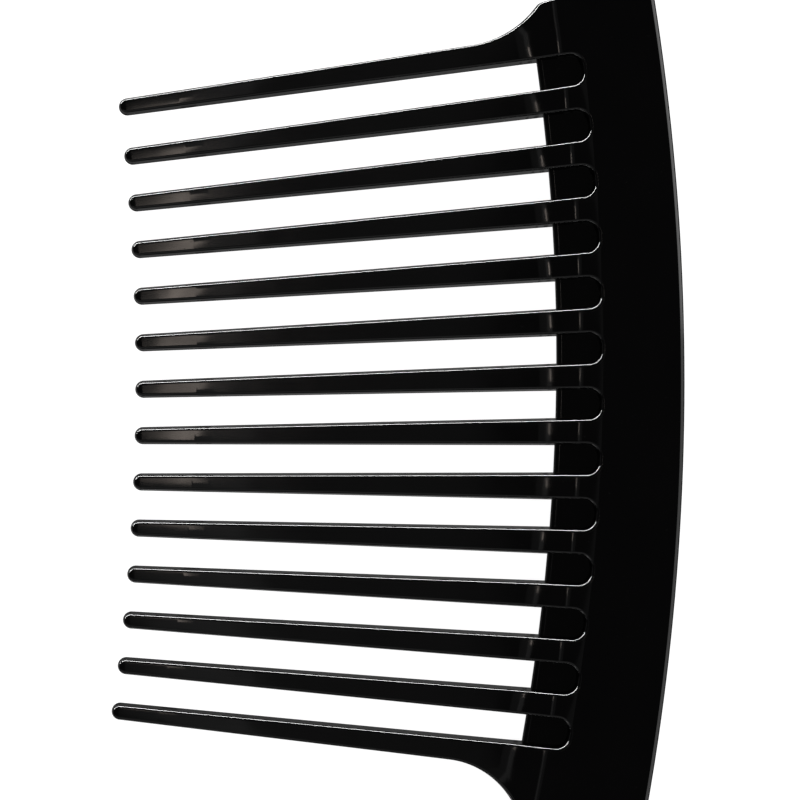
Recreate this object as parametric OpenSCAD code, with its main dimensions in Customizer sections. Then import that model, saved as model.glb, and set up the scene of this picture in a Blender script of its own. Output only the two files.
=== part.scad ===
// Wide tooth comb, moulded in one piece: long tapered teeth on a curved spine, with a flat handle.
// The comb lies flat on one face. Z runs up through the thickness, the teeth point along -X, the
// free end of the spine points along +Y and the handle along -Y. The origin is at the bottom centre.

/* [Teeth] */
// Number of teeth
tooth_count = 14; // [8:1:14]
// Spacing of the teeth around the arc of their roots, in the middle of the row
root_pitch = 6.96; // [6.9:0.01:7.05]
// How much wider each spacing is than the one before it, towards the free end
root_growth = 0.012; // [0:0.002:0.016]
// Angle between neighbouring teeth
fan_step = 1.12; // [1:0.01:1.18]
// How far the first tooth leans in from the even fan
first_tooth_lean = 0.35; // [0:0.05:0.5]
// Width of a tooth at its root, across the parting line
tooth_root_w = 3.5; // [3.1:0.05:3.6]
// Width of a tooth at its tip, across the parting line
tooth_tip_w = 2.2; // [2:0.05:2.4]
// Thickness of a tooth at its root, at the foot of the ramp
tooth_root_t = 4.6; // [4:0.1:5]
// Thickness of a tooth where its point starts
tooth_point_t = 3.4; // [3.2:0.1:3.6]
// Thickness of a tooth at its tip
tooth_tip_t = 3; // [2.6:0.1:3.2]
// Length of the point, where a tooth thins a little faster
point_len = 9; // [6:0.5:12]
// Radius of the arc that the tips lie on
tip_arc_r = 295; // [285:1:310]
// Distance from the arc of the tips to the outermost point of the back
comb_depth = 70.3; // [67:0.1:73]

/* [Spine] */
// Thickness of the spine and the handle
spine_t = 6; // [5.6:0.1:7]
// Radius of the back of the spine
back_r = 312; // [300:1:325]
// Width of the spine, from its back to the top of the ramp
spine_w = 13.4; // [12.5:0.1:15]
// Radius of the arc along the top of the ramp
root_r = 280; // [276:1:284]
// How far the centre of that arc sits towards the free end
root_shift = 3.4; // [3:0.1:3.8]
// Length of the ramp from the teeth up to the spine
ramp_len = 4.1; // [3.2:0.1:4.4]
// Draft of the side walls, from the parting line to either face
draft = 7; // [4:0.5:8]

/* [Webs] */
// Thickness of the webs between the tooth roots
web_t = 1.8; // [1.4:0.1:2.4]
// How far the webs reach out from the top of the ramp
web_reach = 3; // [2.4:0.1:3.4]
// How far the pockets run into the spine from the top of the ramp
pocket_len = 2.4; // [2:0.1:3]
// Radius of the corners at the end of each pocket
pocket_corner_r = 1.4; // [0.8:0.1:1.5]

/* [Ends] */
// Radius of the fillet between the first tooth and the free end
end_fillet_r = 12.6; // [11.6:0.1:13.4]
// Distance along the first tooth from its root point to where that fillet starts
end_fillet_start = 7.9; // [7.3:0.1:8.3]
// Angle of the free end's edge to the X axis
end_edge_angle = 14; // [10:1:16]
// Height of the free end's edge above the back's outermost point, at the spine's width from it
end_edge_y = 49.7; // [49.2:0.1:50.5]
// Radius of the corner between the free end's edge and the back
end_corner_r = 3; // [2:0.5:4]
// Radius of the fillet between the last tooth and the handle
handle_fillet_r = 10.7; // [9.7:0.1:11.7]

/* [Handle] */
// Length of the handle, from the spine to the centre of its rounded end
handle_len = 88; // [78:1:98]
// Radius of the outward sweep of the handle's back
handle_sweep_r = 1200; // [1100:50:1800]
// Diameter of the hole that the comb hangs by
hang_hole_d = 6; // [4:0.5:8]

/* [Hidden] */
// The place in the row, counted in teeth, that points straight along -X, and its place on the arc
straight_place = 8.5;
straight_arc = -13.27;
// Height of the parting plane, half-way up the thickness
mid_z = spine_t / 2;
// How far the draft moves a wall between the parting plane and a face
draft_run = mid_z * tan(draft);
// Longer than any cut across the comb, and the small overlap that keeps cuts clean
reach = 120;
over = 0.5;
// Two meeting curves are kept from just touching by this much
nudge = 0.02;
// How far the outline of a pocket's corner fill runs past its arc, and the steps around that arc
corner_bite = 0.3;
corner_steps = 8;
// Half of the angle that a ring about the root centre sweeps
ring_half_sweep = 18;
// Facets of large arcs and of small ones
large_fn = 720;
small_fn = 64;
gloss_black = "#121214";

// Radii about the root centre
web_edge_r = root_r - web_reach;
ramp_foot_r = root_r - ramp_len;
pocket_r = root_r + pocket_len;

// Centres of the large arcs. The outermost point of the back is the zero of the layout.
back_centre = [-back_r, 0];
root_centre = [-spine_w - root_r, root_shift];
tip_centre = [-comb_depth - tip_arc_r, 0];
tip_r = -comb_depth - root_centre.x;

// Plane geometry
function unit(a) = [cos(a), sin(a)];
function left_of(v) = [-v.y, v.x];
function bearing(v) = atan2(v.y, v.x);
// Where the line through p along the unit vector d crosses the circle of radius r about c:
// end is 1 for the crossing further along d and -1 for the one before it
function crossing(p, d, c, r, end = 1) =
    let (q = p - c, along = q * d)
    p + (end * sqrt(along * along - q * q + r * r) - along) * d;

// The teeth. Each has an angle, a root point, a tip, a length and a taper on each side.
function tooth_angle(i) = fan_step * (straight_place - i) - (i == 1 ? first_tooth_lean : 0);
function root_arc(i) =
    let (count = straight_place - i)
    straight_arc + (root_pitch + root_growth / 2 * count) * count;
function root_point(i) = root_centre + web_edge_r * unit(root_arc(i) / web_edge_r * 180 / PI);
function tooth_len(i) = norm(tip_point(i) - root_point(i));
function tip_point(i) = crossing(root_point(i), -unit(tooth_angle(i)), tip_centre, tip_arc_r, -1);
function taper(i) = atan((tooth_root_w - tooth_tip_w) / 2 / tooth_len(i));
// Side is 1 for the side towards the free end and -1 for the side towards the handle
function side_angle(i, side) = tooth_angle(i) + side * taper(i);
function side_point(i, side) = root_point(i) + side * tooth_root_w / 2 * left_of(unit(tooth_angle(i)));
// The tip is a round end, a little wider than the taper so that the walls cut across it cleanly
function tip_round(i) = tooth_tip_w / 2 * cos(taper(i)) / (1 - sin(taper(i))) + nudge;
function tip_middle(i) = tip_point(i) + tip_round(i) * unit(tooth_angle(i));

// The free end: its straight edge, the centre of its corner and of its fillet to the first tooth
end_edge = [-spine_w, end_edge_y];
end_in = -left_of(unit(end_edge_angle));
end_corner = crossing(end_edge + end_corner_r * end_in, unit(end_edge_angle),
                      back_centre, back_r - end_corner_r);
end_round = end_corner_r - nudge;
end_fillet_foot = side_point(1, 1) - end_fillet_start * unit(side_angle(1, 1));
end_fillet_centre = end_fillet_foot + end_fillet_r * left_of(unit(side_angle(1, 1)));

// The handle end of the row: the fillet from the last tooth runs into the handle's inner edge
last_along = unit(side_angle(tooth_count, -1));
handle_fillet_centre = crossing(side_point(tooth_count, -1) - handle_fillet_r * left_of(last_along),
                                last_along, root_centre, root_r - handle_fillet_r);
handle_fillet_foot = handle_fillet_centre + handle_fillet_r * left_of(last_along);

// The seam between the spine and the handle runs straight out from the root centre
seam_angle = bearing(handle_fillet_centre - root_centre);
seam_in = root_centre + root_r * unit(seam_angle);
seam_out = crossing(seam_in, unit(seam_angle), back_centre, back_r);

// The handle: a straight inner edge, a back that sweeps outwards, and an end round that meets both
sweep_centre = seam_out + handle_sweep_r * unit(bearing(seam_out - back_centre));
grip_foot = seam_in + handle_len * unit(seam_angle - 90);
grip_gap = grip_foot - sweep_centre;
grip_r = (grip_gap * grip_gap - handle_sweep_r * handle_sweep_r)
    / 2 / (handle_sweep_r - grip_gap * unit(seam_angle));
grip_centre = grip_foot + grip_r * unit(seam_angle);
grip_round = grip_r - nudge;
grip_back = sweep_centre + handle_sweep_r * unit(bearing(grip_centre - sweep_centre));

// The box around the layout, and the move that puts its bottom centre at the origin
teeth = [1:tooth_count];
low_x = min([for (i = teeth) tip_middle(i).x - tip_round(i)]);
low_y = grip_centre.y - grip_round;
high_y = end_corner.y + end_round;
to_origin = [-low_x / 2, -(low_y + high_y) / 2, 0];

function numbered(name, i) = str(name, i < 10 ? "_0" : "_", i);

// Everything on the right of the line through p at the given angle, with a wall that leans in by
// run between the parting plane and each face
module right_of_line(p, angle, run = draft_run) {
    wall = [[0, 0], [-run, mid_z], [-reach, mid_z], [-reach, -mid_z], [-run, -mid_z]];
    translate([p.x, p.y, mid_z])
        rotate([0, 0, angle])
            rotate([90, 0, 90])
                translate([0, 0, -reach])
                    linear_extrude(2 * reach)
                        polygon(wall);
}

// A disc of the comb's thickness with a drafted rim
module drafted_disc(c, r, fn = small_fn) {
    rim = [[0, -mid_z], [r - draft_run, -mid_z], [r, 0], [r - draft_run, mid_z], [0, mid_z]];
    translate([c.x, c.y, mid_z])
        rotate_extrude($fn = fn)
            polygon(rim);
}

// The cut that leaves a drafted hollow wall: it widens from the parting plane past both faces
module drafted_cut(c, r, fn = small_fn) {
    half = mid_z + over;
    wide = r + half * tan(draft);
    translate([c.x, c.y, mid_z])
        rotate_extrude($fn = fn)
            polygon([[0, -half], [wide, -half], [r, 0], [wide, half], [0, half]]);
}

// A slab through the whole thickness, over the outline given
module slab(outline) {
    linear_extrude(spine_t)
        polygon(outline);
}

// Part of a ring about the root centre, from its section in radius and height above mid-plane
module root_ring(from = -ring_half_sweep, to = ring_half_sweep) {
    translate([root_centre.x, root_centre.y, mid_z])
        rotate([0, 0, from])
            rotate_extrude(angle = to - from, $fn = large_fn)
                children();
}

// The thickness of the teeth, the ramp and the spine's front, as a ring section
module thickness_section() {
    upper = [[tip_r - 1, tooth_tip_t / 2], [tip_r + point_len, tooth_point_t / 2],
             [ramp_foot_r, tooth_root_t / 2], [root_r, mid_z], [pocket_r, mid_z]];
    count = len(upper);
    polygon(concat(upper, [for (k = [1:count]) [upper[count - k].x, -upper[count - k].y]]));
}

// What is inside the thickness of the teeth, the ramp and the spine's front
module within_section() {
    intersection() {
        root_ring()
            thickness_section();
        children();
    }
}

// Everything on a tooth's side of one of its two side walls
module tooth_side(i, side) {
    right_of_line(side_point(i, side), side_angle(i, side) + (side > 0 ? 0 : 180));
}

// The fill that rounds a pocket's corner beside a tooth, in flat steps around its arc. Its outline runs
// into the tooth, whose side then trims it, and past the pocket line, so that it joins the spine.
module pocket_corner(i, side) {
    along = unit(side_angle(i, side));
    out = side * left_of(along);
    c = crossing(side_point(i, side) + pocket_corner_r * out, along,
                 root_centre, pocket_r - pocket_corner_r);
    from = bearing(-out);
    turn = side * (bearing(c - root_centre) - side_angle(i, side)) + 90;
    bite = pocket_corner_r + corner_bite;
    arc = [for (k = [0:corner_steps]) c + pocket_corner_r * unit(from + side * turn * k / corner_steps)];
    difference() {
        slab(concat([c - bite * out], arc,
                    [c + bite * unit(bearing(c - root_centre)), c + bite * (along - out)]));
        tooth_side(i, side);
    }
}

// The tooth's straight taper with its round tip, at the spine's full thickness
module tooth_blank(i) {
    far = tooth_len(i) + reach / 2;
    intersection() {
        tooth_side(i, 1);
        tooth_side(i, -1);
        translate([tip_middle(i).x, tip_middle(i).y, 0])
            rotate([0, 0, tooth_angle(i)])
                union() {
                    cylinder(r = tip_round(i), h = spine_t, $fn = small_fn);
                    translate([0, -spine_t, 0])
                        cube([far, 2 * spine_t, spine_t]);
                }
        translate([tip_point(i).x, tip_point(i).y, mid_z])
            rotate([90, 0, tooth_angle(i)])
                translate([tooth_tip_t / 2 + nudge, 0, -spine_t])
                    union() {
                        cylinder(r = tooth_tip_t / 2 + nudge, h = 2 * spine_t, $fn = small_fn);
                        translate([0, -spine_t, 0])
                            cube([far, 2 * spine_t, 2 * spine_t]);
                    }
    }
}

// One tooth, from its tip to the line of the pockets' ends
module tooth(i) {
    color(gloss_black)
        within_section()
            tooth_blank(i);
}

// The thin web between tooth i and the next, with a rounded free edge
module web(i) {
    half = web_t / 2;
    color(gloss_black)
        difference() {
            root_ring(bearing(root_point(i + 1) - root_centre), bearing(root_point(i) - root_centre))
                union() {
                    translate([web_edge_r + half, 0])
                        circle(half, $fn = small_fn);
                    translate([web_edge_r + half, -half])
                        square([pocket_r - web_edge_r - half, web_t]);
                }
            tooth_side(i, -1);
            tooth_side(i + 1, 1);
            pocket_corner(i, -1);
            pocket_corner(i + 1, 1);
        }
}

// What both shoulders share: the stretch beside a tooth from the foot of its fillet to the pocket
// line, without the tooth and the fillet
module shoulder(i, side, fillet_foot, fillet_centre, fillet_r) {
    along = unit(side_angle(i, side));
    out = side * left_of(along);
    // The fillet starts as a feather edge, which is left off where it is thinner than the nudge
    start = fillet_foot + sqrt(2 * fillet_r * nudge) * along - out;
    far = 2 * fillet_r;
    within_section()
        difference() {
            slab([start, start + far * out, start + far * (out + 2 * along), start + 2 * far * along]);
            tooth_side(i, side);
            drafted_cut(fillet_centre, fillet_r, large_fn);
        }
}

module end_shoulder() {
    color(gloss_black)
        intersection() {
            shoulder(1, 1, end_fillet_foot, end_fillet_centre, end_fillet_r);
            right_of_line(end_edge, end_edge_angle);
        }
}

module handle_shoulder() {
    color(gloss_black)
        intersection() {
            shoulder(tooth_count, -1, handle_fillet_foot, handle_fillet_centre, handle_fillet_r);
            right_of_line(seam_in, seam_angle + 180, 0);
        }
}

// The curved back bar, from the pockets' ends to the back
module spine() {
    corner_out = end_corner_r + 2;
    back_out = unit(bearing(end_corner - back_centre));
    color(gloss_black)
        union() {
            difference() {
                intersection() {
                    drafted_disc(back_centre, back_r, large_fn);
                    right_of_line(end_edge, end_edge_angle);
                    right_of_line(seam_in, seam_angle + 180, 0);
                }
                translate([root_centre.x, root_centre.y, -over])
                    cylinder(r = pocket_r, h = spine_t + 2 * over, $fn = large_fn);
                slab([end_corner, end_corner - corner_out * end_in,
                      end_corner + corner_out * (back_out - end_in), end_corner + corner_out * back_out]);
            }
            drafted_disc(end_corner, end_round);
            for (i = [1:tooth_count - 1]) {
                pocket_corner(i, -1);
                pocket_corner(i + 1, 1);
            }
        }
}

// The flat grip with its rounded end and hanging hole
module handle() {
    color(gloss_black)
        difference() {
            union() {
                intersection() {
                    difference() {
                        slab([seam_in, grip_foot, grip_centre, grip_back, seam_out]);
                        drafted_cut(sweep_centre, handle_sweep_r, large_fn);
                    }
                    right_of_line(seam_in, seam_angle + 90);
                }
                drafted_disc(grip_centre, grip_round);
            }
            translate([grip_centre.x, grip_centre.y, -over])
                cylinder(d = hang_hole_d, h = spine_t + 2 * over, $fn = small_fn);
        }
}

translate(to_origin) {
    spine();
    handle();
    end_shoulder();
    handle_shoulder();
    for (i = teeth)
        tooth(i);
    for (i = [1:tooth_count - 1])
        web(i);
}
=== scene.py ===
"""A wide tooth comb of glossy black plastic, moulded in one go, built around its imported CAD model.

The layout is worked out flat, in millimetres, with complex numbers as points: the real part runs
along X and the imaginary part along Y, and zero is the outermost point of the comb's back. Outlines
run anticlockwise, with the plastic on their left. place() turns a layout point into the frame.
"""
import cmath
import math

import bpy
from mathutils import Matrix, Vector
from mathutils.geometry import delaunay_2d_cdt


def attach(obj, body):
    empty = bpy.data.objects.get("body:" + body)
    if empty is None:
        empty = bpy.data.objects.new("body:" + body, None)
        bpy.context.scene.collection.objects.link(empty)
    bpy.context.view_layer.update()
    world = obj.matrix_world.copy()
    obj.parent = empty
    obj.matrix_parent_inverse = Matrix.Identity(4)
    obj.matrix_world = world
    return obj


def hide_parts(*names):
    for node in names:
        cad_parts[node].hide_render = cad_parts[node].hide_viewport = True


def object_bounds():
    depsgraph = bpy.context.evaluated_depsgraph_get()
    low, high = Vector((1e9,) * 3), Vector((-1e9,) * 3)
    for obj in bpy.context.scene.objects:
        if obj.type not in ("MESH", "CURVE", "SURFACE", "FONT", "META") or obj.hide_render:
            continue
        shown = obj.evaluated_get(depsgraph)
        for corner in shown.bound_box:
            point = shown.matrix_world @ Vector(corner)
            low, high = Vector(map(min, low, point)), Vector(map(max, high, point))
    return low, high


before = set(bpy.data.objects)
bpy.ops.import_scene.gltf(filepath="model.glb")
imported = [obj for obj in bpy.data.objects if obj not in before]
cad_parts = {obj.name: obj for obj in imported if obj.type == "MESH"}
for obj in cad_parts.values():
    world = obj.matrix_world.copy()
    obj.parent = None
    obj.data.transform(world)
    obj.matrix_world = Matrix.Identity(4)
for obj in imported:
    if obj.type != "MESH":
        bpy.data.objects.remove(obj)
CAD_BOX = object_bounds()
MM = 0.001

# The comb's driving sizes, the same as the CAD model's
TOOTH_COUNT = 14
ROOT_PITCH = 6.96
ROOT_GROWTH = 0.012
FAN_STEP = 1.12
FIRST_TOOTH_LEAN = 0.35
TOOTH_ROOT_W = 3.5
TOOTH_TIP_W = 2.2
TOOTH_ROOT_T = 4.6
TOOTH_POINT_T = 3.4
TOOTH_TIP_T = 3.0
POINT_LEN = 9.0
TIP_ARC_R = 295.0
COMB_DEPTH = 70.3
SPINE_T = 6.0
BACK_R = 312.0
SPINE_W = 13.4
ROOT_R = 280.0
ROOT_SHIFT = 3.4
RAMP_LEN = 4.1
WEB_T = 1.8
WEB_REACH = 3.0
POCKET_LEN = 2.4
END_FILLET_R = 12.6
END_FILLET_START = 7.9
END_EDGE_ANGLE = 14.0
END_EDGE_Y = 49.7
END_CORNER_R = 3.0
HANDLE_FILLET_R = 10.7
HANDLE_LEN = 88.0
HANDLE_SWEEP_R = 1200.0
HANG_HOLE_D = 6.0
STRAIGHT_PLACE = 8.5
STRAIGHT_ARC = -13.27
POCKET_CORNER_R = 1.4

# Sizes of the finish that only the visual model has
SHOULDER_CORNER_R = 1.0
SIDE_FILLET = 0.38
TIP_FILLET = 0.42
POCKET_END_FILLET = 0.42
OUTER_FILLET = 0.58
WALL_RUN = 0.23
BEAD = 0.02
WEB_EDGE_ROUND = 0.7
PIN_WEB = 7
PIN_PLACE = complex(-13.62, -2.47)
PIN_RADIUS = 1.1
PIN_DEPTH = 0.004
PIN_LINE = 0.12

# The CAD model keeps its end rounds back by this much, and its facets cut arcs short by up to this much
NUDGE = 0.02
FACET_GAP = 0.006
# It gives the tips' thickness this far beyond the arc that they lie on
TIP_MARGIN = 1.0
# The teeth's pieces end this far in front of where the pockets' corners start
SEAM_MARGIN = 0.2

# Fineness of the meshes
LINE_STEP = 5.0
ARC_STEP = 5.0
LARGE_ARC_STEP = 0.5
FILLET_STEPS = 7
RUNG_STEP = 1.5
WEB_ROUNDING_STEP = 10
PIN_WEB_STEP = 0.07
HALVINGS = 40
STATION_SLACK = 1e-5
MERGE_GAP = 1e-6

# Half lengths over which each crease in the faces is blended, from the tip to the spine
POINT_BLEND = 1.1
RAMP_FOOT_BLEND = 1.3
RAMP_TOP_BLEND = 0.46
BLEND_STEPS = 10


# Plane geometry

def unit(angle):
    return cmath.rect(1, math.radians(angle))


def left_of(v):
    return v * 1j


def bearing(v):
    return math.degrees(cmath.phase(v))


def dot(a, b):
    return (a.conjugate() * b).real


def crossing(p, d, c, r, end=1):
    """Where the line through p along the unit vector d crosses the circle of radius r about c."""
    q = p - c
    along = dot(q, d)
    return p + (end * math.sqrt(along * along - abs(q) ** 2 + r * r) - along) * d


BACK_CENTRE = complex(-BACK_R, 0)
ROOT_CENTRE = complex(-SPINE_W - ROOT_R, ROOT_SHIFT)
TIP_CENTRE = complex(-COMB_DEPTH - TIP_ARC_R, 0)
TIP_R = -COMB_DEPTH - ROOT_CENTRE.real
WEB_EDGE_R = ROOT_R - WEB_REACH
RAMP_FOOT_R = ROOT_R - RAMP_LEN
POCKET_R = ROOT_R + POCKET_LEN
SEAM_R = POCKET_R - POCKET_CORNER_R - SEAM_MARGIN


def tooth_angle(i):
    return FAN_STEP * (STRAIGHT_PLACE - i) - (FIRST_TOOTH_LEAN if i == 1 else 0)


def root_point(i):
    count = STRAIGHT_PLACE - i
    arc = STRAIGHT_ARC + (ROOT_PITCH + ROOT_GROWTH / 2 * count) * count
    return ROOT_CENTRE + WEB_EDGE_R * unit(math.degrees(arc / WEB_EDGE_R))


def tip_point(i):
    return crossing(root_point(i), -unit(tooth_angle(i)), TIP_CENTRE, TIP_ARC_R, -1)


def taper(i):
    length = abs(tip_point(i) - root_point(i))
    return math.degrees(math.atan((TOOTH_ROOT_W - TOOTH_TIP_W) / 2 / length))


def side_along(i, side):
    """The direction of a tooth's side from tip to root: side is 1 towards the free end, -1 the other."""
    return unit(tooth_angle(i) + side * taper(i))


def side_point(i, side):
    return root_point(i) + side * TOOTH_ROOT_W / 2 * left_of(unit(tooth_angle(i)))


def side_at(i, side, r):
    """Where a tooth's side is at radius r about the root centre."""
    return crossing(side_point(i, side), side_along(i, side), ROOT_CENTRE, r)


def tip_round(i):
    lean = math.radians(taper(i))
    return TOOTH_TIP_W / 2 * math.cos(lean) / (1 - math.sin(lean))


def tip_middle(i):
    return tip_point(i) + tip_round(i) * unit(tooth_angle(i))


END_EDGE = complex(-SPINE_W, END_EDGE_Y)
END_ALONG = unit(END_EDGE_ANGLE)
END_IN = -left_of(END_ALONG)
END_CORNER = crossing(END_EDGE + END_CORNER_R * END_IN, END_ALONG, BACK_CENTRE, BACK_R - END_CORNER_R)
END_ROUND = END_CORNER_R - NUDGE
END_FILLET_FOOT = side_point(1, 1) - END_FILLET_START * side_along(1, 1)
END_FILLET_CENTRE = END_FILLET_FOOT + END_FILLET_R * left_of(side_along(1, 1))
SHOULDER_CORNER = crossing(END_EDGE + SHOULDER_CORNER_R * END_IN, END_ALONG,
                           END_FILLET_CENTRE, END_FILLET_R + SHOULDER_CORNER_R)
LAST_ALONG = side_along(TOOTH_COUNT, -1)
HANDLE_FILLET_CENTRE = crossing(side_point(TOOTH_COUNT, -1) - HANDLE_FILLET_R * left_of(LAST_ALONG),
                                LAST_ALONG, ROOT_CENTRE, ROOT_R - HANDLE_FILLET_R)
SEAM_ANGLE = bearing(HANDLE_FILLET_CENTRE - ROOT_CENTRE)
SEAM_IN = ROOT_CENTRE + ROOT_R * unit(SEAM_ANGLE)
SEAM_MEETING = ROOT_CENTRE + SEAM_R * unit(SEAM_ANGLE)
SEAM_OUT = crossing(SEAM_IN, unit(SEAM_ANGLE), BACK_CENTRE, BACK_R)
SWEEP_CENTRE = SEAM_OUT + HANDLE_SWEEP_R * unit(bearing(SEAM_OUT - BACK_CENTRE))
GRIP_FOOT = SEAM_IN + HANDLE_LEN * unit(SEAM_ANGLE - 90)
GRIP_GAP = GRIP_FOOT - SWEEP_CENTRE
GRIP_R = ((abs(GRIP_GAP) ** 2 - HANDLE_SWEEP_R ** 2)
          / 2 / (HANDLE_SWEEP_R - dot(GRIP_GAP, unit(SEAM_ANGLE))))
GRIP_CENTRE = GRIP_FOOT + GRIP_R * unit(SEAM_ANGLE)
GRIP_ROUND = GRIP_R - NUDGE

TEETH = range(1, TOOTH_COUNT + 1)
FURTHEST_TIP = min(tip_middle(i).real - tip_round(i) for i in TEETH)
LAYOUT_LOW = complex(FURTHEST_TIP, GRIP_CENTRE.imag - GRIP_ROUND)
LAYOUT_HIGH = complex(0, END_CORNER.imag + END_ROUND)
FRAME_CENTRE = (CAD_BOX[0] + CAD_BOX[1]) / 2


def place(p, height=0.0):
    """A layout point in the frame, in metres, at a height above the parting plane."""
    offset = p - (LAYOUT_LOW + LAYOUT_HIGH) / 2
    return FRAME_CENTRE + MM * Vector((offset.real, offset.imag, height))


# Thickness of the comb, by radius about the root centre

def ease(x, half):
    """A ramp from zero that starts at x = 0, blended over half on each side."""
    if x <= -half:
        return 0.0
    return x if x >= half else (x + half) ** 2 / (4 * half)


POINT_R = TIP_R + POINT_LEN
POINT_SLOPE = (TOOTH_POINT_T - TOOTH_TIP_T) / 2 / (POINT_LEN + TIP_MARGIN)
TOOTH_SLOPE = (TOOTH_ROOT_T - TOOTH_POINT_T) / 2 / (RAMP_FOOT_R - POINT_R)
RAMP_SLOPE = (SPINE_T - TOOTH_ROOT_T) / 2 / RAMP_LEN
CREASES = [(POINT_R, POINT_BLEND, TOOTH_SLOPE - POINT_SLOPE),
           (RAMP_FOOT_R, RAMP_FOOT_BLEND, RAMP_SLOPE - TOOTH_SLOPE),
           (ROOT_R, RAMP_TOP_BLEND, -RAMP_SLOPE)]
# The circles across which the faces bend, from one end of each blend to the other
STATIONS = [r + half * (2 * k / BLEND_STEPS - 1)
            for r, half, _ in CREASES for k in range(BLEND_STEPS + 1)]


def half_thickness(r):
    start = TOOTH_TIP_T / 2 + POINT_SLOPE * (r - TIP_R + TIP_MARGIN)
    return start + sum(turn * ease(r - crease, half) for crease, half, turn in CREASES)


# Outlines: each part gives, at a share of the way along it, a point, the direction into the plastic
# and the radius that rounds the face's edge there

def smooth(pair, share):
    return pair[0] + (pair[1] - pair[0]) * share * share * (3 - 2 * share)


def straight(a, b, fillets=(SIDE_FILLET, SIDE_FILLET)):
    inward = left_of((b - a) / abs(b - a))
    steps = max(1, math.ceil(abs(b - a) / LINE_STEP))
    return (lambda t: (a + (b - a) * t, inward, smooth(fillets, t))), steps


def bend(centre, radius, start, end, fillets=(SIDE_FILLET, SIDE_FILLET), step=ARC_STEP):
    """An arc: it turns left around plastic if end is above start, and else right around a hollow."""
    turn = math.copysign(1, end - start)

    def at(t):
        out = unit(start + (end - start) * t)
        return centre + radius * out, -turn * out, smooth(fillets, t)
    return at, max(2, math.ceil(abs(end - start) / step))


def inner_point(sample):
    p, inward, fillet = sample
    return p + (WALL_RUN + fillet) * inward


def station_shares(at, low, high):
    """The shares between low and high at which the face's edge crosses a station circle."""
    def reach(t):
        return abs(inner_point(at(t)) - ROOT_CENTRE)
    found = []
    for station in STATIONS:
        a, b = low, high
        rising = reach(b) > reach(a)
        if not min(reach(a), reach(b)) < station < max(reach(a), reach(b)):
            continue
        for _ in range(HALVINGS):
            middle = (a + b) / 2
            if (reach(middle) > station) == rising:
                b = middle
            else:
                a = middle
        found.append(a)
    return found


def sampled(*parts):
    """The samples of a stretch of outline, with one wherever it crosses a station."""
    found = []
    for at, steps in parts:
        shares = [k / steps for k in range(steps + 1)]
        extra = [t for low, high in zip(shares, shares[1:]) for t in station_shares(at, low, high)]
        samples = [at(t) for t in sorted(shares + extra)]
        found += samples[1:] if found else samples
    return found


# Closed solids

class Solid:
    """The vertices and faces of one closed piece, in layout millimetres. Seams are the places in the
    list of faces of those whose edges stay sharp."""

    def __init__(self):
        self.points = []
        self.faces = []
        self.seams = []

    def add(self, p, height):
        self.points.append((p, height))
        return len(self.points) - 1

    def column(self, sample):
        """Vertices down one section of the rim, from the lower face's edge to the upper one's."""
        p, inward, fillet = sample
        rows = [(p + FACET_GAP * inward, 0.0), (p + (FACET_GAP + BEAD) * inward, BEAD)]
        for k in range(FILLET_STEPS + 1):
            rise = math.pi / 2 * k / FILLET_STEPS
            q = p + (WALL_RUN + fillet * (1 - math.cos(rise))) * inward
            rows.append((q, half_thickness(abs(q - ROOT_CENTRE)) - fillet * (1 - math.sin(rise))))
        lower = [self.add(q, -height) for q, height in reversed(rows[1:])]
        return lower + [self.add(q, height) for q, height in rows]

    def corner(self, p):
        """Vertices of a seam's corner, at both faces."""
        height = half_thickness(abs(p - ROOT_CENTRE))
        return [self.add(p, -height), self.add(p, height)]

    def rim(self, columns):
        for a, b in zip(columns, columns[1:]):
            for k in range(len(a) - 1):
                self.faces.append((a[k], b[k], b[k + 1], a[k + 1]))

    def seam(self, a, b):
        """The flat inner wall where this piece meets the next one of the same moulding."""
        self.seams.append(len(self.faces))
        self.faces.append(tuple(b) + tuple(reversed(a)))

    def caps(self, loop, holes=()):
        """Both faces, from the columns around them. Rungs follow each station across the face."""
        loops = [loop, *holes]
        ends = [(column[-1], column[0]) for columns in loops for column in columns]
        edges = []
        for columns in loops:
            first = sum(len(other) for other in loops[:loops.index(columns)])
            ring = [first + k for k in range(len(columns))]
            # A hole's outline runs clockwise, but the triangulation wants every loop anticlockwise
            edges.append(ring if columns is loop else ring[::-1])
        spots = [self.points[top][0] for top, _ in ends]
        borders = len(spots)
        rungs = []
        for station in STATIONS:
            on = [k for k in range(borders) if abs(abs(spots[k] - ROOT_CENTRE) - station) < STATION_SLACK]
            on.sort(key=lambda k: bearing(spots[k] - ROOT_CENTRE))
            for a, b in zip(on[::2], on[1::2]):
                rungs += self.rung(a, b, station, spots, ends)
        flat = [Vector((p.real, p.imag)) for p in spots]
        whole_hull = 0
        filled = delaunay_2d_cdt(flat, rungs, edges, whole_hull, MERGE_GAP)
        _, _, triangles, point_sources, _, loops_around = filled
        source = [min(found) for found in point_sources]
        for triangle, around in zip(triangles, loops_around):
            # A triangle of the face has the outer loop around it, and no hole's loop
            if list(around) == [0]:
                corners = [source[v] for v in triangle]
                self.faces.append(tuple(ends[v][0] for v in corners))
                self.faces.append(tuple(ends[v][1] for v in reversed(corners)))

    def rung(self, a, b, station, spots, ends):
        """Points across the face between two border points at one station, and the edges along them."""
        start, end = bearing(spots[a] - ROOT_CENTRE), bearing(spots[b] - ROOT_CENTRE)
        steps = max(1, round(abs(spots[b] - spots[a]) / RUNG_STEP))
        path = [a]
        for k in range(1, steps):
            p = ROOT_CENTRE + station * unit(start + (end - start) * k / steps)
            height = half_thickness(station)
            spots.append(p)
            ends.append((self.add(p, height), self.add(p, -height)))
            path.append(len(spots) - 1)
        path.append(b)
        return list(zip(path, path[1:]))


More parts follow.
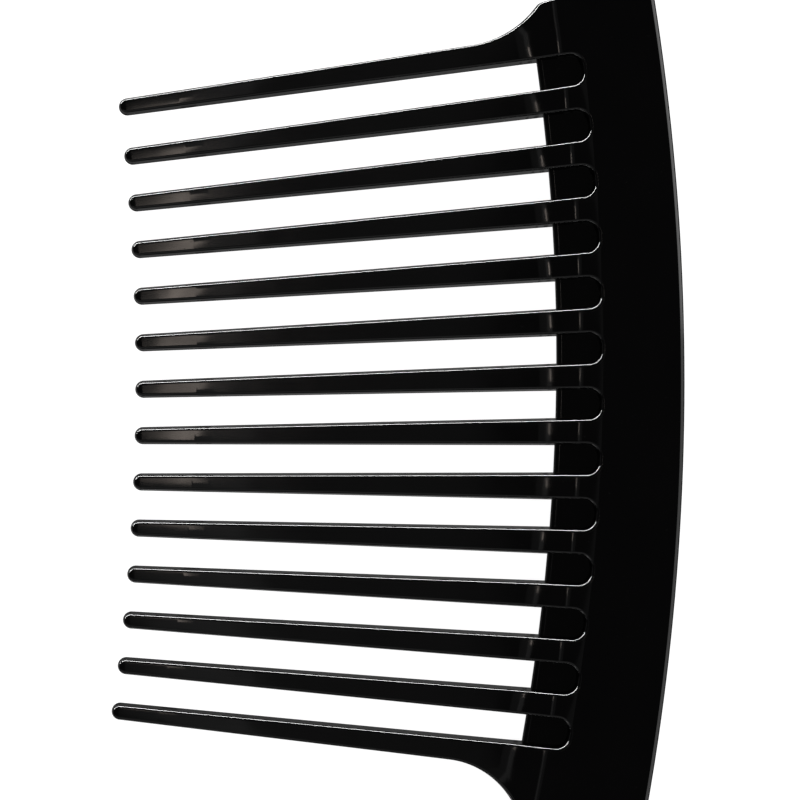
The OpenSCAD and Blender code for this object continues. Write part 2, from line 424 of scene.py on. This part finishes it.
def plate(rims, corners=None, holes=()):
    """A piece of the moulding: rims are the stretches of its outline that show, in order, and seams
    join the end of each to the start of the next, through any corners given for that gap."""
    corners = corners or {}
    solid = Solid()
    loop = []
    gaps = []
    for index, samples in enumerate(rims):
        columns = [solid.column(sample) for sample in samples]
        solid.rim(columns)
        between = [solid.corner(p) for p in corners.get(index, ())]
        loop += columns + between
        gaps.append((columns, between))
    for index, (columns, between) in enumerate(gaps):
        following = gaps[(index + 1) % len(gaps)][0]
        path = [columns[-1], *between, following[0]]
        for a, b in zip(path, path[1:]):
            solid.seam(a, b)
    openings = []
    for samples in holes:
        columns = [solid.column(sample) for sample in samples[:-1]]
        solid.rim(columns + columns[:1])
        openings.append(columns)
    solid.caps(loop, openings)
    return solid


# The outline of each piece

def tip_parts(i):
    """A tooth's round tip, from its side towards the free end to the other one."""
    middle, radius, angle, lean = tip_middle(i), tip_round(i), tooth_angle(i), taper(i)
    return [bend(middle, radius, angle + lean + 90, angle + 180, (SIDE_FILLET, TIP_FILLET)),
            bend(middle, radius, angle + 180, angle - lean + 270, (TIP_FILLET, SIDE_FILLET))]


def tip_end(i, side):
    return tip_middle(i) + side * tip_round(i) * left_of(side_along(i, side))


def tooth_outline(i):
    return sampled(straight(side_at(i, 1, SEAM_R), tip_end(i, 1)), *tip_parts(i),
                   straight(tip_end(i, -1), side_at(i, -1, SEAM_R)))


def end_seam():
    """The point of the free end's edge where the first tooth's piece meets the spine."""
    return crossing(END_EDGE, END_ALONG, ROOT_CENTRE, SEAM_R)


def first_tooth_outline():
    corner_start = bearing(-END_IN)
    corner_turn = (bearing(END_FILLET_CENTRE - SHOULDER_CORNER) - corner_start) % 360
    fillet_start = bearing(SHOULDER_CORNER - END_FILLET_CENTRE)
    fillet_turn = (fillet_start - bearing(END_FILLET_FOOT - END_FILLET_CENTRE)) % 360
    return sampled(
        straight(end_seam(), SHOULDER_CORNER - SHOULDER_CORNER_R * END_IN),
        bend(SHOULDER_CORNER, SHOULDER_CORNER_R, corner_start, corner_start + corner_turn),
        bend(END_FILLET_CENTRE, END_FILLET_R, fillet_start, fillet_start - fillet_turn),
        straight(END_FILLET_FOOT, tip_end(1, 1)),
        *tip_parts(1),
        straight(tip_end(1, -1), side_at(1, -1, SEAM_R)))


def last_tooth_outline():
    foot = HANDLE_FILLET_CENTRE + HANDLE_FILLET_R * left_of(LAST_ALONG)
    start = bearing(foot - HANDLE_FILLET_CENTRE)
    return sampled(
        straight(side_at(TOOTH_COUNT, 1, SEAM_R), tip_end(TOOTH_COUNT, 1)),
        *tip_parts(TOOTH_COUNT),
        straight(tip_end(TOOTH_COUNT, -1), foot),
        bend(HANDLE_FILLET_CENTRE, HANDLE_FILLET_R, start, start - (start - SEAM_ANGLE) % 360, step=3.0))


def pocket_outline(i):
    """The end of the pocket below tooth i, from that tooth's side around to the next tooth's."""
    upper, lower = side_along(i, -1), side_along(i + 1, 1)
    inset = POCKET_R - POCKET_CORNER_R
    first = crossing(side_point(i, -1) - POCKET_CORNER_R * left_of(upper), upper, ROOT_CENTRE, inset)
    second = crossing(side_point(i + 1, 1) + POCKET_CORNER_R * left_of(lower), lower, ROOT_CENTRE, inset)
    first_turn, second_turn = bearing(first - ROOT_CENTRE), bearing(second - ROOT_CENTRE)
    grow, fade = (SIDE_FILLET, POCKET_END_FILLET), (POCKET_END_FILLET, SIDE_FILLET)
    level = (POCKET_END_FILLET, POCKET_END_FILLET)
    return sampled(
        straight(side_at(i, -1, SEAM_R), first + POCKET_CORNER_R * left_of(upper)),
        bend(first, POCKET_CORNER_R, bearing(upper) + 90, first_turn, grow),
        bend(ROOT_CENTRE, POCKET_R, first_turn, second_turn, level, LARGE_ARC_STEP),
        bend(second, POCKET_CORNER_R, second_turn, bearing(lower) - 90, fade),
        straight(second - POCKET_CORNER_R * left_of(lower), side_at(i + 1, 1, SEAM_R)))


def back_outline():
    """The spine's back and free end, from the handle's seam to the first tooth's."""
    outer = (OUTER_FILLET, OUTER_FILLET)
    corner_angle = bearing(END_CORNER - BACK_CENTRE)
    return sampled(
        bend(BACK_CENTRE, BACK_R, bearing(SEAM_OUT - BACK_CENTRE), corner_angle, outer, LARGE_ARC_STEP),
        bend(END_CORNER, END_ROUND, corner_angle, bearing(-END_IN), outer),
        straight(END_CORNER - END_ROUND * END_IN, end_seam(), (OUTER_FILLET, SIDE_FILLET)))


def handle_outline():
    outer = (OUTER_FILLET, OUTER_FILLET)
    back_side = bearing(SWEEP_CENTRE - GRIP_CENTRE)
    front_side = bearing(GRIP_FOOT - GRIP_CENTRE)
    return sampled(
        straight(SEAM_IN, GRIP_FOOT, (SIDE_FILLET, OUTER_FILLET)),
        bend(GRIP_CENTRE, GRIP_ROUND, front_side, front_side + (back_side - front_side) % 360, outer),
        bend(SWEEP_CENTRE, HANDLE_SWEEP_R, back_side + 180, bearing(SEAM_OUT - SWEEP_CENTRE) % 360,
             outer, LARGE_ARC_STEP))


def hole_outline():
    return sampled(bend(GRIP_CENTRE, HANG_HOLE_D / 2, 360, 0, (OUTER_FILLET, OUTER_FILLET)))


# Webs

def steps_between(low, high, step):
    count = math.ceil((high - low) / step)
    return [low + (high - low) * k / count for k in range(count + 1)]


def web_height(i, p):
    """Half the web's thickness at a point: it has a rounded free edge, and one has an ejector mark."""
    short = WEB_EDGE_ROUND - min(WEB_EDGE_ROUND, abs(p - ROOT_CENTRE) - WEB_EDGE_R)
    height = WEB_T / 2 - WEB_EDGE_ROUND + math.sqrt(max(0.0, WEB_EDGE_ROUND ** 2 - short ** 2))
    if i == PIN_WEB:
        off_line = (abs(p - PIN_PLACE) - PIN_RADIUS) / PIN_LINE
        height -= PIN_DEPTH * math.exp(-off_line ** 2)
    return height


def web(i):
    """The thin web between teeth i and i + 1. Its other edges are sunk into their walls."""
    sunk = 0.2
    step = PIN_WEB_STEP if i == PIN_WEB else ROOT_PITCH
    rounding = [WEB_EDGE_R + WEB_EDGE_ROUND * (1 - math.cos(math.radians(a)))
                for a in range(0, 90, WEB_ROUNDING_STEP)]
    radii = rounding + steps_between(WEB_EDGE_R + WEB_EDGE_ROUND, POCKET_R + sunk, step)
    across = math.ceil((ROOT_PITCH - TOOTH_ROOT_W + 2 * sunk) / step)
    solid = Solid()
    grid = []
    for r in radii:
        top_side = side_at(i, -1, r) + sunk * left_of(side_along(i, -1))
        low_side = side_at(i + 1, 1, r) - sunk * left_of(side_along(i + 1, 1))
        spots = [low_side + (top_side - low_side) * k / across for k in range(across + 1)]
        grid.append([(solid.add(p, web_height(i, p)), solid.add(p, -web_height(i, p))) for p in spots])
    for near, far in zip(grid, grid[1:]):
        for k in range(across):
            solid.faces.append((near[k][0], far[k][0], far[k + 1][0], near[k + 1][0]))
            solid.faces.append((near[k][1], near[k + 1][1], far[k + 1][1], far[k][1]))
    low_border = [row[0] for row in grid[1:]]
    top_border = [row[-1] for row in grid[-2:0:-1]]
    border = grid[0][::-1] + low_border + grid[-1][1:] + top_border
    # The free edge comes first and is smooth. The rest is out of sight in the walls, and sharp.
    for k, (a, b) in enumerate(zip(border, border[1:] + border[:1])):
        if k >= across:
            solid.seams.append(len(solid.faces))
        solid.faces.append((a[1], b[1], b[0], a[0]))
    return solid


# Material

def black_plastic():
    """Glossy moulded black plastic: a faint waviness, fine scuffs and specks of dust."""
    material = bpy.data.materials.new("black_plastic")
    material.use_nodes = True
    nodes, links = material.node_tree.nodes, material.node_tree.links
    shader = nodes["Principled BSDF"]
    coordinates = nodes.new("ShaderNodeTexCoord")

    def noise(scale, detail, stretch=(1, 1, 1)):
        mapping = nodes.new("ShaderNodeMapping")
        mapping.inputs["Scale"].default_value = stretch
        texture = nodes.new("ShaderNodeTexNoise")
        texture.inputs["Scale"].default_value = scale
        texture.inputs["Detail"].default_value = detail
        links.new(coordinates.outputs["Object"], mapping.inputs["Vector"])
        links.new(mapping.outputs["Vector"], texture.inputs["Vector"])
        return texture.outputs["Fac"]

    def spread(source, low, high, from_low=0.3, from_high=0.7):
        mapped = nodes.new("ShaderNodeMapRange")
        limits = {"From Min": from_low, "From Max": from_high, "To Min": low, "To Max": high}
        for name, value in limits.items():
            mapped.inputs[name].default_value = value
        links.new(source, mapped.inputs["Value"])
        return mapped.outputs["Result"]

    def bump(source, distance, below=None):
        node = nodes.new("ShaderNodeBump")
        node.inputs["Strength"].default_value = 1.0
        node.inputs["Distance"].default_value = distance
        links.new(source, node.inputs["Height"])
        if below:
            links.new(below, node.inputs["Normal"])
        return node.outputs["Normal"]

    def total(first, second):
        node = nodes.new("ShaderNodeMath")
        node.operation = "ADD"
        links.new(first, node.inputs[0])
        links.new(second, node.inputs[1])
        return node.outputs["Value"]

    tint = nodes.new("ShaderNodeMix")
    tint.data_type = "RGBA"
    tint.inputs["A"].default_value = (0.0003, 0.0003, 0.0004, 1)
    tint.inputs["B"].default_value = (0.0006, 0.0005, 0.0006, 1)
    links.new(noise(scale=60, detail=4), tint.inputs["Factor"])
    links.new(tint.outputs["Result"], shader.inputs["Base Color"])

    gloss = spread(noise(scale=120, detail=5), low=0.05, high=0.11)
    specks = spread(noise(scale=2600, detail=2), low=0.0, high=0.12, from_low=0.70, from_high=0.78)
    links.new(total(gloss, specks), shader.inputs["Roughness"])
    shader.inputs["IOR"].default_value = 1.5

    waves = bump(noise(scale=170, detail=1), distance=0.000012)
    scratches = noise(scale=900, detail=3, stretch=(0.12, 1, 1))
    scuffs = bump(scratches, distance=0.0000006, below=waves)
    links.new(scuffs, shader.inputs["Normal"])
    return material


PLASTIC = black_plastic()


def piece(name, solid, *nodes):
    """Makes the solid an object that stands for CAD nodes, smooth everywhere but along its seams."""
    mesh = bpy.data.meshes.new(name)
    mesh.from_pydata([place(p, height) for p, height in solid.points], [], solid.faces)
    mesh.shade_smooth()
    sharp = {key for index in solid.seams for key in mesh.polygons[index].edge_keys}
    for edge in mesh.edges:
        edge.use_edge_sharp = edge.key in sharp
    mesh.materials.append(PLASTIC)
    made = bpy.data.objects.new(name, mesh)
    bpy.context.scene.collection.objects.link(made)
    weighting = made.modifiers.new("weighted_normals", "WEIGHTED_NORMAL")
    weighting.keep_sharp = True
    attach(made, "root")
    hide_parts(*nodes)
    return made


def build_comb():
    piece("first_tooth_and_shoulder", plate([first_tooth_outline()]), "tooth_01", "end_shoulder")
    for i in TEETH[1:-1]:
        piece(f"moulded_tooth_{i:02d}", plate([tooth_outline(i)]), f"tooth_{i:02d}")
    piece("last_tooth_and_shoulder", plate([last_tooth_outline()], {0: [SEAM_MEETING]}),
          f"tooth_{TOOTH_COUNT:02d}", "handle_shoulder")
    pockets = [pocket_outline(i) for i in TEETH[:-1]]
    spine = plate([*pockets, back_outline()], {len(pockets) - 1: [SEAM_MEETING]})
    piece("moulded_spine", spine, "spine")
    handle = plate([handle_outline()], {0: [SEAM_MEETING]}, [hole_outline()])
    piece("moulded_handle", handle, "handle")
    for i in TEETH[:-1]:
        piece(f"moulded_web_{i:02d}", web(i), f"web_{i:02d}")


# Studio

# The camera looks straight down. Its sensor and lens are in millimetres, and all else here is in metres.
LOOK_AT = place(complex(-36.41, -2.34))
EYE_HEIGHT = 0.3456
SENSOR_WIDTH = 36
LENS = 121.5
NEAREST_SEEN = 0.01

# The floor below the comb, the mirrored sheet below the floor, and the darkness around them
GROUND_HALF = 4.0
FLOOR_GAP = 0.05 * MM
SHEET_GAP = MM
FLOOR_GREY = 0.2
FLOOR_GLOW = 1.0
SHEET_GLOW = 0.15
WORLD_GREY = 0.035
WARM = (1.0, 0.86, 0.76)


def camera():
    data = bpy.data.cameras.new("camera")
    data.sensor_width = SENSOR_WIDTH
    data.lens = LENS
    data.clip_start = NEAREST_SEEN
    made = bpy.data.objects.new("camera", data)
    made.location = LOOK_AT + Vector((0, 0, EYE_HEIGHT))
    bpy.context.scene.collection.objects.link(made)
    bpy.context.scene.camera = made


def panel(name, offset, size, radiance, colour=(1, 1, 1)):
    """A soft rectangular light that faces the comb, by its radiance. The first of the two sizes is its
    level one: it runs along Y if the panel stands off along X, and along X if it stands off along Y."""
    data = bpy.data.lights.new(name, "AREA")
    data.shape = "RECTANGLE"
    data.size, data.size_y = size
    data.color = colour
    data.energy = radiance * math.pi * size[0] * size[1]
    made = bpy.data.objects.new(name, data)
    out = Vector(offset).normalized()
    level = Vector((0, 1, 0)) if abs(out.x) > abs(out.y) else Vector((1, 0, 0))
    rise = out.cross(level).normalized()
    made.location = LOOK_AT + Vector(offset)
    made.rotation_mode = "QUATERNION"
    made.rotation_quaternion = Matrix((rise.cross(out), rise, out)).transposed().to_quaternion()
    made.visible_camera = False
    bpy.context.scene.collection.objects.link(made)


def ground(name, level, base, glow):
    """A wide level sheet at a height in metres, from its grey and how strongly it glows."""
    mesh = bpy.data.meshes.new(name)
    corners = [(-1, -1), (1, -1), (1, 1), (-1, 1)]
    mesh.from_pydata([(x * GROUND_HALF, y * GROUND_HALF, level) for x, y in corners], [], [(0, 1, 2, 3)])
    material = bpy.data.materials.new(name)
    material.use_nodes = True
    shader = material.node_tree.nodes["Principled BSDF"]
    shader.inputs["Base Color"].default_value = (base, base, base, 1)
    shader.inputs["Roughness"].default_value = 1.0
    shader.inputs["Specular IOR Level"].default_value = 0.0
    shader.inputs["Emission Color"].default_value = (1, 1, 1, 1)
    shader.inputs["Emission Strength"].default_value = glow
    mesh.materials.append(material)
    made = bpy.data.objects.new(name, mesh)
    bpy.context.scene.collection.objects.link(made)
    return made


def floor():
    """A white floor, and a dimmer sheet below it that the comb's gloss mirrors instead of the floor."""
    level = CAD_BOX[0].z - FLOOR_GAP
    white = ground("floor", level, FLOOR_GREY, FLOOR_GLOW)
    white.visible_glossy = False
    dim = ground("mirrored_floor", level - SHEET_GAP, 0.0, SHEET_GLOW)
    dim.visible_camera = False
    dim.visible_diffuse = False
    dim.visible_shadow = False


def studio():
    scene = bpy.context.scene
    scene.view_settings.view_transform = "Standard"
    world = bpy.data.worlds.new("studio")
    world.use_nodes = True
    background = world.node_tree.nodes["Background"]
    background.inputs["Color"].default_value = (WORLD_GREY, WORLD_GREY, WORLD_GREY, 1)
    scene.world = world
    camera()
    floor()
    # The lights: offset from what the camera looks at and size, in metres, then radiance
    panel("free_end_panel", (-0.3, 0.7, 0.065), (1.7, 0.07), 115.0)
    panel("handle_end_panel", (0, -0.65, 0.45), (1.8, 0.9), 0.25)
    panel("back_panel", (0.7, 0, 0.25), (1.2, 1.7), 1.1)
    panel("back_corner_panel", (0.69, 0.32, 0.25), (0.6, 1.7), 1.4)
    panel("front_glow", (-0.06, 0, 1.21), (0.7, 0.16), 0.06)
    panel("front_skirt", (-0.16, 0, 1.205), (0.7, 0.08), 0.2)
    panel("front_strip", (-0.17, 0.0525, 1.195), (0.195, 0.017), 4.3, WARM)


build_comb()
studio()
